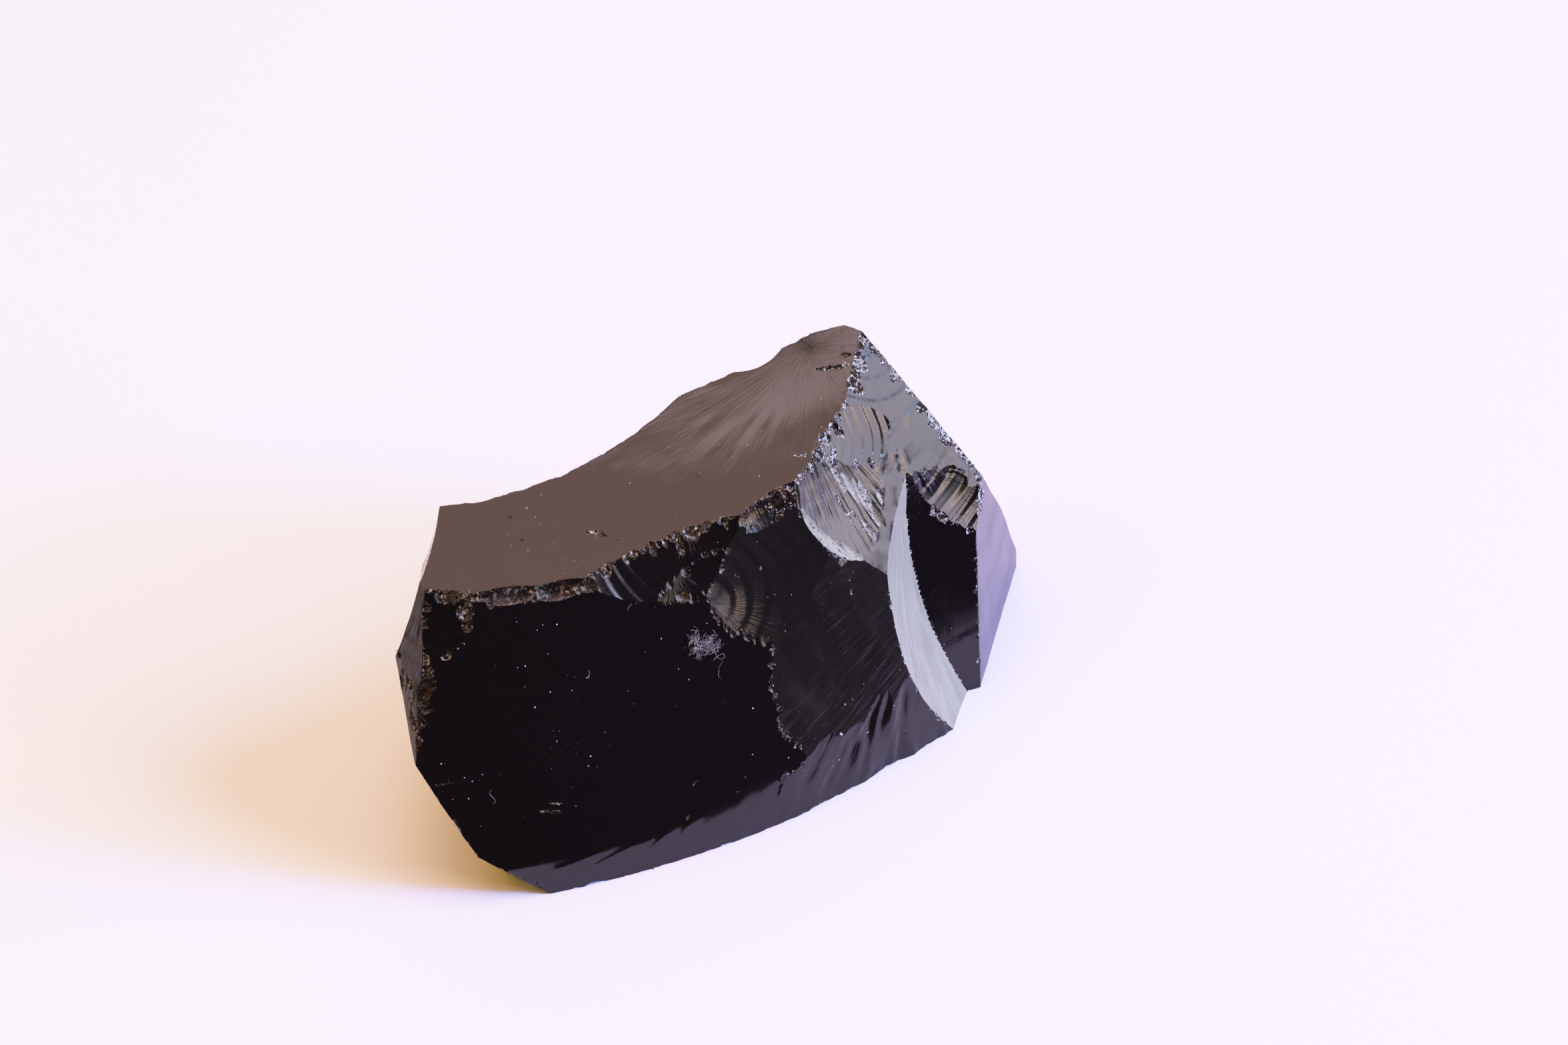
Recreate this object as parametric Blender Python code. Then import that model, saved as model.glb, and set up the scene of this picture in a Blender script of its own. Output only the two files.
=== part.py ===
# A hand-sized chunk of obsidian, broken from a larger block. It is one solid piece of volcanic glass.
# Every face is a fracture: either flat, or part of a large sphere, hollow where a flake was struck
# off this piece and bulging where the piece itself came off another. So each face is given by a point
# on it, the way it looks, and the radius of its curve.
# The origin is on the table under the middle of the chunk. +X is to the right, +Y to the back, +Z up.
import math
import random

import bmesh
import bpy
from mathutils import Matrix, Vector

MM = 0.001
BLANK = (110, 100, 64)  # the rough block that the faces are cut from
SAG = 0.008  # how far a cell of a curved face may be from its true curve
CUT_HEIGHT = 45  # how far a cutter stands out from the face that it leaves

# Flat faces: point on the face, bearing and tilt. A bearing of 0 looks to the front, 90 to the right and
# 180 to the back. The tilt is how far the face looks up.
FLAT_FACES = {
    "matte_front": ((12.3, -9.7, 22.9), 35, 26.5),
    "upper_right": ((29.3, 17.3, 36.8), 48, 36),
    "shoulder": ((24.3, 23.8, 45.0), 57, 50),
    "right_end": ((40.5, 16.6, 12.0), 76, 8),
    "left_strip": ((-43.2, -19.2, 37.0), -51, 27),
    "left_heel": ((-45.2, -22.9, 28.5), -58, 20),
    "left_underside": ((-44.3, -25.2, 27.5), -96, -22),
    "back": ((2.3, 24.1, 46.0), -153.5, 6),
    "peak_back": ((15.3, 29.7, 48.7), -169, 12),
    "peak_corner": ((19.4, 29.6, 49.3), 155, 14),
    "right_back_upper": ((30.3, 23.5, 39.3), 123, 26),
    "right_back_lower": ((41.9, 25.3, 18.0), 121, 20),
    "back_undercut": ((-2.7, 34.3, 8.0), 180, -32),
    "tip_undercut": ((-28.8, -36.8, 3.7), -34, -35),
    "rest": ((0.0, 0.0, 0.0), 0, -90),
}

# Curved faces: the same, then the radius (minus for a hollow) and how far the face reaches. The last
# value, if any, is a flat face that bounds the flake: only what lies beyond that face too was lost.
CURVED_FACES = {
    "crown": ((-10.2, 4.8, 42.0), 0, 82.5, -190, 62),
    "great_front": ((-13.7, -22.7, 23.3), 21, 28.5, 190, 46),
    "front_lip": ((-12.2, -31.7, 4.7), 20, 15, 150, 44),
    "right_apron": ((20.3, -13.2, 7.0), 36, 18, 340, 40),
    "front_undercut": ((-38.4, -34.6, 15.0), -73, -25, 300, 50),
    "left_end": ((-40.4, -9.7, 43.4), -98, 9, -70, 44),
    "back_hollow": ((-16.9, 10.0, 42.5), -143, 4, -71, 48),
    "back_nick": ((5.6, 24.5, 46.0), -155, 20, -7, 6),
    "back_lower_scar": ((7.3, 35.3, 12.0), -175, 4, -60, 30),
    "back_right_scar": ((33.3, 31.3, 14.0), 150, 12, -48, 22),
    "ridge_scar": ((-3.2, -5.3, 39.1), 20, 47, -27, 14),
    "ridge_step": ((-5.2, -10.0, 36.1), 28, 45, -42, 15),
    "ripple_scar": ((6.8, -4.2, 35.1), 30, 32, -115, 30),
    "comb_scar": ((16.8, 4.7, 36.8), 49, 37, -55, 20),
    "bulb_scar": ((19.3, 13.3, 42.0), 49, 42, -40, 18),
    "deep_scar": ((26.6, -4.1, 16.0), 77, 21, -90, 44, ((36.8, 2.8, 0.0), 22, 21)),
    "right_bowl": ((30.7, 11.3, 28.2), 50, 31, -42, 20),
    "corner_scar": ((-38.1, -19.3, 39.1), 5, 36, -29, 14),
}

# Ridges that are crushed: the points that the ridge runs through, the way it looks, and the number,
# least and greatest radius, and least and greatest depth of the small chips along it.
CRUSHED_RIDGES = {
    "front_ridge": (
        ((-40.2, -17.9, 42.7), (-27.7, -15.8, 41.2), (-17.7, -12.8, 40.6), (-10.7, -9.7, 40.5)),
        (18, 56), 19, (2.6, 6.0), (0.4, 0.8),
    ),
    "middle_ridge": (
        ((2.5, -2.3, 41.6), (5.3, -0.5, 42.0), (9.9, 2.5, 42.8)),
        (30, 56), 5, (2.2, 3.6), (0.3, 0.6),
    ),
    "right_ridge": (
        ((10.6, 3.3, 43.0), (13.1, 7.3, 43.8), (16.0, 13.3, 45.2), (18.6, 18.3, 46.5), (20.7, 26.3, 48.7)),
        (52, 62), 15, (2.0, 4.0), (0.3, 0.6),
    ),
    "right_crest": (
        ((29.3, 22.8, 41.8), (33.3, 20.7, 37.2), (37.3, 19.8, 31.4)),
        (85, 38), 8, (2.2, 4.0), (0.4, 0.8),
    ),
}

for old in list(bpy.data.objects):
    bpy.data.objects.remove(old, do_unlink=True)
scene = bpy.context.scene
chunk_collection = bpy.data.collections.new("obsidian chunk")
cutter_collection = bpy.data.collections.new("struck off")
chip_collection = bpy.data.collections.new("small chips")
for collection in (chunk_collection, cutter_collection, chip_collection):
    scene.collection.children.link(collection)


def direction(bearing, tilt):
    """The unit vector of a face that looks along this bearing and tilt."""
    b = math.radians(bearing)
    t = math.radians(tilt)
    return Vector((math.sin(b) * math.cos(t), -math.cos(b) * math.cos(t), math.sin(t)))


def cut_flat(bm, point, bearing, tilt, keep_outside=False):
    """Cuts a closed mesh along a flat face, drops one side and closes the cut."""
    geometry = list(bm.verts) + list(bm.edges) + list(bm.faces)
    cut = bmesh.ops.bisect_plane(
        bm,
        geom=geometry,
        dist=1e-7,
        plane_co=Vector(point) * MM,
        plane_no=direction(bearing, tilt),
        clear_outer=not keep_outside,
        clear_inner=keep_outside,
    )
    loop = [item for item in cut["geom_cut"] if isinstance(item, bmesh.types.BMEdge)]
    if loop:
        bmesh.ops.contextual_create(bm, geom=loop)
    bmesh.ops.recalc_face_normals(bm, faces=bm.faces)


def add_object(name, bm, collection):
    mesh = bpy.data.meshes.new(name)
    bm.to_mesh(mesh)
    bm.free()
    obj = bpy.data.objects.new(name, mesh)
    collection.objects.link(obj)
    return obj


def hide_cutter(obj):
    obj.hide_render = True
    obj.display_type = "WIRE"


def flake_cutter(name, point, bearing, tilt, radius, reach, bound=None):
    """The flake that leaves this face: a grid bent to the sphere, then drawn outward into a solid."""
    cell = math.sqrt(8 * abs(radius) * SAG) if radius else reach
    cells = max(2, math.ceil(2 * reach / cell))
    bm = bmesh.new()
    bmesh.ops.create_grid(bm, x_segments=cells, y_segments=cells, size=reach * MM)
    if radius:
        for vert in bm.verts:
            across = min(vert.co.xy.length / MM, 0.97 * abs(radius))
            rise = abs(radius) - math.sqrt(radius * radius - across * across)
            vert.co.z = math.copysign(rise * MM, -radius)
    drawn = bmesh.ops.extrude_face_region(bm, geom=bm.faces[:])
    top = [item for item in drawn["geom"] if isinstance(item, bmesh.types.BMVert)]
    for vert in top:
        vert.co.z = (CUT_HEIGHT + max(0, vert.co.z / MM)) * MM
    bmesh.ops.triangulate(bm, faces=bm.faces[:])
    bmesh.ops.recalc_face_normals(bm, faces=bm.faces)
    look = direction(bearing, tilt)
    turn = look.to_track_quat("Z", "Y").to_matrix().to_4x4()
    bm.transform(Matrix.Translation(Vector(point) * MM) @ turn)
    if bound:
        cut_flat(bm, *bound, keep_outside=True)
    obj = add_object(name, bm, cutter_collection)
    hide_cutter(obj)
    return obj


def along(points, share):
    """The point at this share of the way along a line through the points."""
    lengths = [(b - a).length for a, b in zip(points, points[1:])]
    left = share * sum(lengths)
    for start, end, length in zip(points, points[1:], lengths):
        if left <= length:
            break
        left -= length
    return start.lerp(end, min(1.0, left / length))


# The rough block, with the flat faces cut from it one after another.
bm = bmesh.new()
bmesh.ops.create_cube(bm, size=1.0)
bmesh.ops.scale(bm, vec=Vector(BLANK) * MM, verts=bm.verts)
bmesh.ops.translate(bm, vec=Vector((0, 0, BLANK[2] / 2 - 5)) * MM, verts=bm.verts)
for point, bearing, tilt in FLAT_FACES.values():
    cut_flat(bm, point, bearing, tilt)
chunk = add_object("obsidian_chunk", bm, chunk_collection)

# The curved faces, each left by one flake.
for name, values in CURVED_FACES.items():
    cutter = flake_cutter("flake_" + name, *values)
    cut = chunk.modifiers.new(name, "BOOLEAN")
    cut.operation = "DIFFERENCE"
    cut.solver = "EXACT"
    cut.object = cutter

# The crushed ridges: a row of small round bites, unevenly spaced and sized.
chance = random.Random(11)
for name, (points, look, count, radii, depths) in CRUSHED_RIDGES.items():
    line = [Vector(point) for point in points]
    for i in range(count):
        radius = chance.uniform(*radii)
        depth = chance.uniform(*depths)
        outward = direction(look[0] + chance.uniform(-9, 9), look[1] + chance.uniform(-9, 9))
        bite = along(line, (i + chance.uniform(0.25, 0.75)) / count)
        middle = (bite + outward * (radius - depth)) * MM
        bm = bmesh.new()
        bmesh.ops.create_icosphere(bm, subdivisions=3, radius=radius * MM)
        spin = Matrix.Rotation(chance.uniform(0, math.tau), 4, outward)
        bm.transform(Matrix.Translation(middle) @ spin)
        chip = add_object(f"chip_{name}_{i + 1}", bm, chip_collection)
        hide_cutter(chip)
        cut = chunk.modifiers.new(chip.name, "BOOLEAN")
        cut.operation = "DIFFERENCE"
        cut.solver = "EXACT"
        cut.object = chip

weld = chunk.modifiers.new("weld", "WELD")
weld.merge_threshold = 0.00001
triangles = chunk.modifiers.new("triangles", "TRIANGULATE")
triangles.quad_method = "BEAUTY"

# Near-black glass, smooth and glossy on its fresh breaks.
glass = bpy.data.materials.new("obsidian glass")
glass.use_nodes = True
shader = glass.node_tree.nodes["Principled BSDF"]
shader.inputs["Base Color"].default_value = (0.012, 0.010, 0.011, 1.0)
shader.inputs["Roughness"].default_value = 0.12
shader.inputs["Metallic"].default_value = 0.0
shader.inputs["IOR"].default_value = 1.49
chunk.data.materials.append(glass)
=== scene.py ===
import math
from itertools import product

import bmesh
import bpy
import numpy as np
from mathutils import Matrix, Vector


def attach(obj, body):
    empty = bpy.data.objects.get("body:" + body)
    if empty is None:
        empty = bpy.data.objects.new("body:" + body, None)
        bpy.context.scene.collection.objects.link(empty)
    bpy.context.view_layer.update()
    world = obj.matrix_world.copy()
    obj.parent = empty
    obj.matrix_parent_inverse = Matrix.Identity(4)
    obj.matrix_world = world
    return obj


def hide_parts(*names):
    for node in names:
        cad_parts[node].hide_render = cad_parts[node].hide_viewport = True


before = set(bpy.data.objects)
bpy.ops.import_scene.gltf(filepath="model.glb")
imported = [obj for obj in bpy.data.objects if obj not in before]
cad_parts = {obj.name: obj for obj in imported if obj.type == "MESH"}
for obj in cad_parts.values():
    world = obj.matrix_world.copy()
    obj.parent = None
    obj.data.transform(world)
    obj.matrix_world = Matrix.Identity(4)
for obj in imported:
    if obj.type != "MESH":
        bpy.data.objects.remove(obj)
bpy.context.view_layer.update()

# ------------------------------------------------------------------------------------------ the stone
# One lump of black volcanic glass, broken out of a larger block and left as it broke. Every face is a
# fracture: flat, or part of a big sphere, hollow where a flake was struck off and bulging where the chunk
# itself came off. Ripples ring the point of each blow, and hackles run out from it like rays.
MM = 0.001
HEART = np.array((-1.7, 2.3, 19.0))  # a point inside the stone that every face can be seen from
TAU = 2 * math.pi

# Each fracture: a point on it, its bearing (0 looks to the front, 90 to the right), its tilt, its radius
# (minus for a hollow, 0 for flat), where the blow fell, ripples (spacing, depth), hackles (depth, width
# 10 mm from the blow), how much it swells, and the size of a mesh cell on it, in mm and degrees.
FRACTURES = {
    "crown": ((-10.2, 4.8, 42.0), 0, 82.5, -190, (13.0, 27.0, 47.5), (14.0, 0.03), (0.055, 0.8), 0.1, 0.7),
    "great_front": ((-13.7, -22.7, 23.3), 21, 28.5, 190, (-41.0, -18.7, 42.2), (7.0, 0.025), (0, 1), 0.015, 0.9),
    "front_lip": ((-12.2, -31.7, 4.7), 20, 15.5, 150, (-40.0, -21.2, 44.8), (2.4, 0.035), (0.03, 0.8), 0.02, 0.7),
    "matte_front": ((12.3, -9.7, 22.9), 35, 26.5, 0, (60.7, 32.7, 36.7), (5.0, 0.015), (0.04, 0.28), 0.04, 0.42),
    "right_apron": ((20.3, -13.2, 7.0), 36, 18, 340, (27.6, 0.7, 25.6), (9.0, 0.03), (0.26, 0.9), 0.04, 0.38),
    "upper_right": ((29.3, 17.3, 36.8), 48, 36, 0, (23.9, 18.7, 43.6), (5.0, 0.11), (0.05, 0.7), 0.2, 0.5),
    "shoulder": ((24.3, 23.8, 45.0), 57, 50, 0, (20.5, 27.5, 49.4), (3.4, 0.06), (0.05, 0.8), 0.12, 0.4),
    "right_end": ((40.5, 16.6, 12.0), 76, 8, 0, (36.0, 20.0, 34.0), (8.0, 0.03), (0.02, 1.2), 0.04, 0.8),
    "left_strip": ((-43.2, -19.2, 37.0), -51, 27, 0, (-41.0, -18.0, 42.0), (3.1, 0.03), (0.14, 0.6), 0.06, 0.3),
    "left_heel": ((-45.2, -22.9, 28.5), -58, 20, 0, (-42.0, -18.5, 40.0), (3.7, 0.03), (0.14, 0.6), 0.06, 0.4),
    "left_underside": ((-44.3, -25.2, 27.5), -96, -22, 0, (-45.0, -20.0, 30.0), (8.0, 0.036), (0.025, 1), 0.05, 1.2),
    "back": ((2.3, 24.1, 46.0), -153.5, 6, 0, (2.0, 24.0, 46.0), (9.0, 0.036), (0.025, 1), 0.05, 1.1),
    "peak_back": ((15.3, 29.7, 48.7), -169, 12, 0, (15.0, 30.0, 49.0), (6.0, 0.06), (0.04, 1), 0.05, 1.0),
    "peak_corner": ((19.4, 29.6, 49.3), 155, 14, 0, (17.0, 30.0, 49.0), (6.0, 0.06), (0.04, 1), 0.05, 1.0),
    "right_back_upper": ((30.3, 23.5, 39.3), 123, 26, 0, (26.0, 25.0, 45.0), (7.0, 0.05), (0.03, 1), 0.05, 1.0),
    "right_back_lower": ((41.9, 25.3, 18.0), 121, 20, 0, (36.0, 25.0, 30.0), (9.0, 0.06), (0.03, 1), 0.05, 1.0),
    "back_undercut": ((-2.7, 34.3, 8.0), 180, -32, 0, (10.0, 36.0, 9.0), (9.0, 0.06), (0.03, 1), 0.05, 1.4),
    "tip_undercut": ((-28.8, -36.8, 3.7), -34, -35, 0, (-30.0, -36.0, 8.0), (4.0, 0.05), (0.04, 1), 0.05, 1.0),
    "rest": ((0.0, 0.0, 0.0), 0, -90, 0, (0.0, 0.0, 0.0), (9.0, 0), (0, 1), 0.05, 2.0),
    "front_undercut": ((-38.4, -34.6, 15.0), -73, -25, 300, (-45.0, -24.0, 24.0), (6.0, 0.06), (0.03, 1), 0.05, 1.0),
    "left_end": ((-40.4, -9.7, 43.4), -98, 9, -70, (-40.4, -9.7, 43.4), (5.0, 0.032), (0.025, 0.8), 0.05, 0.9),
    "back_hollow": ((-16.9, 10.0, 42.5), -143, 4, -71, (-16.0, 10.0, 42.0), (6.0, 0.041), (0.025, 0.8), 0.05, 0.9),
    "back_nick": ((5.6, 24.5, 46.0), -155, 20, -7, (5.0, 24.0, 46.5), (2.5, 0.036), (0.025, 0.8), 0.05, 0.4),
    "back_lower_scar": ((7.3, 35.3, 12.0), -175, 4, -60, (9.0, 36.0, 8.0), (5.0, 0.041), (0.025, 0.8), 0.05, 0.9),
    "back_right_scar": ((33.3, 31.3, 14.0), 150, 12, -48, (36.0, 30.0, 2.0), (4.0, 0.041), (0.025, 0.8), 0.05, 0.8),
    "ridge_scar": ((-3.1, -5.5, 39.35), 18, 47, -60, (-4.6, -3.3, 41.6), (1.6, 0.03), (0.006, 0.6), 0.02, 0.22),
    "ridge_step": ((-5.2, -10.0, 36.1), 28, 45, -42, (-6.7, -7.9, 38.9), (2.2, 0.03), (0.006, 0.6), 0.02, 0.24),
    "ripple_scar": ((6.8, -4.2, 35.1), 30, 32, -115, (-0.7, -10.6, 33.0), (3.0, 0.045), (0.012, 0.8), 0.03, 0.3),
    "comb_scar": ((16.8, 4.7, 36.8), 49, 37, -55, (7.5, 15.2, 54.6), (3.0, 0.02), (0.11, 0.26), 0.06, 0.19),
    "bulb_scar": ((19.3, 13.3, 42.0), 49, 42, -40, (12.0, 11.0, 46.0), (1.5, 0.026), (0.015, 0.5), 0.06, 0.22),
    "deep_scar": ((26.6, -4.1, 16.0), 77, 21, -90, (26.5, 10.5, 32.5), (12.0, 0.04), (0.02, 0.7), 0.05, 0.4),
    "deep_floor": ((36.8, 2.8, 0.0), 22, 21, 0, (30.0, 14.0, 34.0), (4.5, 0.015), (0.02, 0.8), 0.03, 0.45),
    "right_bowl": ((30.8, 11.15, 28.35), 50, 35, -42, (28.3, 15.0, 37.7), (2.3, 0.07), (0.05, 0.5), 0.04, 0.22),
    "corner_scar": ((-38.1, -19.3, 39.1), 5, 36, -29, (-36.8, -17.8, 41.3), (2.2, 0.04), (0.02, 0.5), 0.03, 0.25),
}
row_of = {name: k for k, name in enumerate(FRACTURES)}
# The deep scar runs into an older face, so it took only what lies beyond that face too.
WALL, FLOOR = row_of["deep_scar"], row_of["deep_floor"]
FRONT, LIP = row_of["great_front"], row_of["front_lip"]
ROLL = 0.6  # mm, over which the front rolls into its lip
FAR = 90  # mm from the heart, well outside the stone
NOWHERE = 1e3  # mm, for a line that misses a face


def looking(bearing, tilt):
    """Unit vectors that look along these bearings and tilts."""
    b, t = np.radians(bearing), np.radians(tilt)
    return np.stack([np.sin(b) * np.cos(t), -np.cos(b) * np.cos(t), np.sin(t)], -1)


def unit(v):
    return v / np.linalg.norm(v, axis=-1, keepdims=True)


def dot(a, b):
    return (a * b).sum(-1)


rows = list(FRACTURES.values())
on_face = np.array([row[0] for row in rows])
outward = looking(np.array([row[1] for row in rows]), np.array([row[2] for row in rows]))
bend = np.array([[1 / row[3] if row[3] else 0.0] * 3 for row in rows])
blow = np.array([row[4] for row in rows])
ripple_gap, ripple_depth = np.array([row[5] for row in rows]).T
hackle_depth, hackle_width = np.array([row[6] for row in rows], float).T
swells = np.array([row[7] for row in rows])
cell = np.array([row[8] for row in rows])
side = unit(np.cross((0.31, 0.17, 0.93), outward))
up_side = np.cross(outward, side)
loose = np.zeros(0)  # how crumbly each flake's bed is, once there are flakes
lattice = np.random.default_rng(5).uniform(-1, 1, 4096)


def noise(p, size, seed):
    """Smooth lumps of this size between about -1 and 1, the same at every run."""
    q = p / size + 31.7 * seed
    low = np.floor(q).astype(np.int64)
    f = q - low
    f = f * f * f * (f * (f * 6 - 15) + 10)
    total = 0
    for corner in np.ndindex(2, 2, 2):
        spot = low + np.array(corner)
        key = spot[:, 0] * 73856093 ^ spot[:, 1] * 19349663 ^ spot[:, 2] * 83492791
        share = np.where(corner, f, 1 - f).prod(1)
        total = total + share * lattice[key & 4095]
    return total


def round_blow(x, face):
    """Distance from the blow and direction round it, for points on these faces."""
    away = x - blow[face]
    u, v = dot(away, side[face]), dot(away, up_side[face])
    return np.hypot(u, v), np.arctan2(v, u)


def roll(x):
    """The soft roll of the top face, from the hump at its back down towards the front left."""
    across = (x[:, 0] - 9.0) * 0.62 - (x[:, 1] - 23.0) * 0.78
    down = (9.0 - x[:, 0]) * 0.78 + (23.0 - x[:, 1]) * 0.62
    return 0.45 * np.exp(-((across / 5.5) ** 2) - np.maximum(down / 16, 0) ** 2)


def relief(x, face):
    """How far the broken surface stands proud of its sphere: swells, ripples and hackles."""
    ring, turn = round_blow(x, face)
    swell = swells[face] * (noise(x, 13, 1) + 0.3 * noise(x, 4, 2))
    swell = swell + np.where(face == row_of["crown"], roll(x), 0)
    phase = TAU * (ring + 1.2 * noise(x, 8, 3)) / ripple_gap[face]
    ripple = ripple_depth[face] * np.sin(phase + 0.6 * np.sin(phase)) * (0.65 + 0.5 * noise(x, 6, 4))
    rays = np.stack([turn * 10 / hackle_width[face], ring / 8, face * 3.7], 1)
    hackle = hackle_depth[face] * (noise(rays, 1, 5) + 0.5 * noise(rays * (2.1, 1.7, 1), 1, 6))
    hackle = hackle * np.clip(0.7 + 1.5 * noise(x, 5, 9), 0, 1.6)
    return np.where(face == row_of["rest"], 0, swell + ripple + hackle)


def in_face(v, face):
    """Vectors in the faces' own directions: along the side, up the side and outward."""
    return np.stack([dot(v, side[face]), dot(v, up_side[face]), dot(v, outward[face])], 1)


def proud(x, face):
    """How far points stand outside these faces."""
    q = in_face(x - on_face[face], face)
    return q[:, 2] + (bend[face] * q * q).sum(1) / 2


def reach(d, face, detailed=True):
    """How far from the heart a line along d meets each of these faces."""
    q = in_face(HEART - on_face[face], face)
    w = in_face(d, face)
    a = q[:, 2] + (bend[face] * q * q).sum(1) / 2
    b = w[:, 2] + (bend[face] * q * w).sum(1)
    c = (bend[face] * w * w).sum(1) / 2
    root = np.sqrt(np.maximum(b * b - 4 * a * c, 0))
    met = (b * b > 4 * a * c) & (b + root > 1e-6)
    r = np.where(met, -2 * a / np.where(met, b + root, 1), NOWHERE)
    if not detailed:
        return r
    near = met & (r < FAR)
    spots = face[near]
    x = HEART + d[near] * r[near][:, None]
    whole = spots < len(rows)
    bumps = np.zeros(len(spots))
    bumps[whole] = relief(x[whole], spots[whole])
    rough = 0.25 + loose[spots[~whole] - len(rows)]
    bumps[~whole] = rough * (0.03 * noise(x[~whole], 0.5, 7) + 0.02 * noise(x[~whole], 0.22, 8))
    lift = np.zeros(len(r))
    lift[near] = bumps / np.maximum(root[near], 0.3)
    return r + lift


def broken(d):
    """The stone before its ridges were crushed: reach, face and the lead over the next face."""
    all_r = np.stack([reach(d, np.full(len(d), f), False) for f in range(len(rows))], 1)
    plain = all_r.copy()
    plain[:, WALL] = plain[:, FLOOR] = np.maximum(plain[:, WALL], plain[:, FLOOR])
    first = plain.min(1)
    for f in range(len(rows)):
        close = plain[:, f] < first + 2.0  # the relief can't bring a deeper face forward
        all_r[close, f] = reach(d[close], np.full(close.sum(), f))
    floor = all_r[:, FLOOR] > all_r[:, WALL]
    all_r[floor, WALL] = all_r[~floor, FLOOR] = NOWHERE
    order = np.argsort(all_r, 1)[:, :2]
    best = np.take_along_axis(all_r, order, 1)
    soft = np.maximum(ROLL - np.abs(all_r[:, FRONT] - all_r[:, LIP]), 0) ** 2 / (4 * ROLL)
    soft = np.where((order[:, 0] == FRONT) | (order[:, 0] == LIP), soft, 0)
    return best[:, 0] - soft, order[:, 0], best[:, 1] - best[:, 0]


def divide(d, tris, cut, share):
    """Splits the marked edges of a triangle mesh, at these shares of the way along them."""
    edges, where = mesh_edges(tris)
    new = np.full(len(edges), -1)
    new[cut] = len(d) + np.arange(cut.sum())
    a, b = edges[cut].T
    t = share[cut][:, None]
    d = np.concatenate([d, unit(d[a] * (1 - t) + d[b] * t)])
    mid = new[where]
    count = (mid >= 0).sum(1)
    parts = [tris[count == 0]]
    full, m = tris[count == 3], mid[count == 3]
    for k in range(3):
        parts.append(np.stack([full[:, k], m[:, k], m[:, k - 1]], 1))
    parts.append(m)
    for k in range(3):
        one = (count == 1) & (mid[:, k] >= 0)
        v, m = np.roll(tris[one], -k, 1), mid[one, k]
        parts += [np.stack([v[:, 0], m, v[:, 2]], 1), np.stack([m, v[:, 1], v[:, 2]], 1)]
        two = (count == 2) & (mid[:, k] < 0)
        v, m = np.roll(tris[two], -k, 1), np.roll(mid[two], -k, 1)
        parts += [
            np.stack([m[:, 1], v[:, 2], m[:, 2]], 1),
            np.stack([v[:, 0], v[:, 1], m[:, 1]], 1),
            np.stack([v[:, 0], m[:, 1], m[:, 2]], 1),
        ]
    return d, np.concatenate(parts)


def mesh_edges(tris):
    """Each edge once, and which three edges each triangle has."""
    pairs = np.stack([tris, np.roll(tris, -1, 1)], 2)
    keys = np.sort(pairs, 2).reshape(-1, 2)
    one = keys[:, 0] * (1 << 32) + keys[:, 1]
    _, first, where = np.unique(one, return_index=True, return_inverse=True)
    return keys[first], where.reshape(-1, 3)


# A ball of even triangles is drawn in or out along its own rays until it lies on the broken faces.
bm = bmesh.new()
bmesh.ops.create_icosphere(bm, subdivisions=6, radius=1.0)
rays = unit(np.array([v.co for v in bm.verts]))
tris = np.array([[v.index for v in f.verts] for f in bm.faces])
bm.free()

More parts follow.
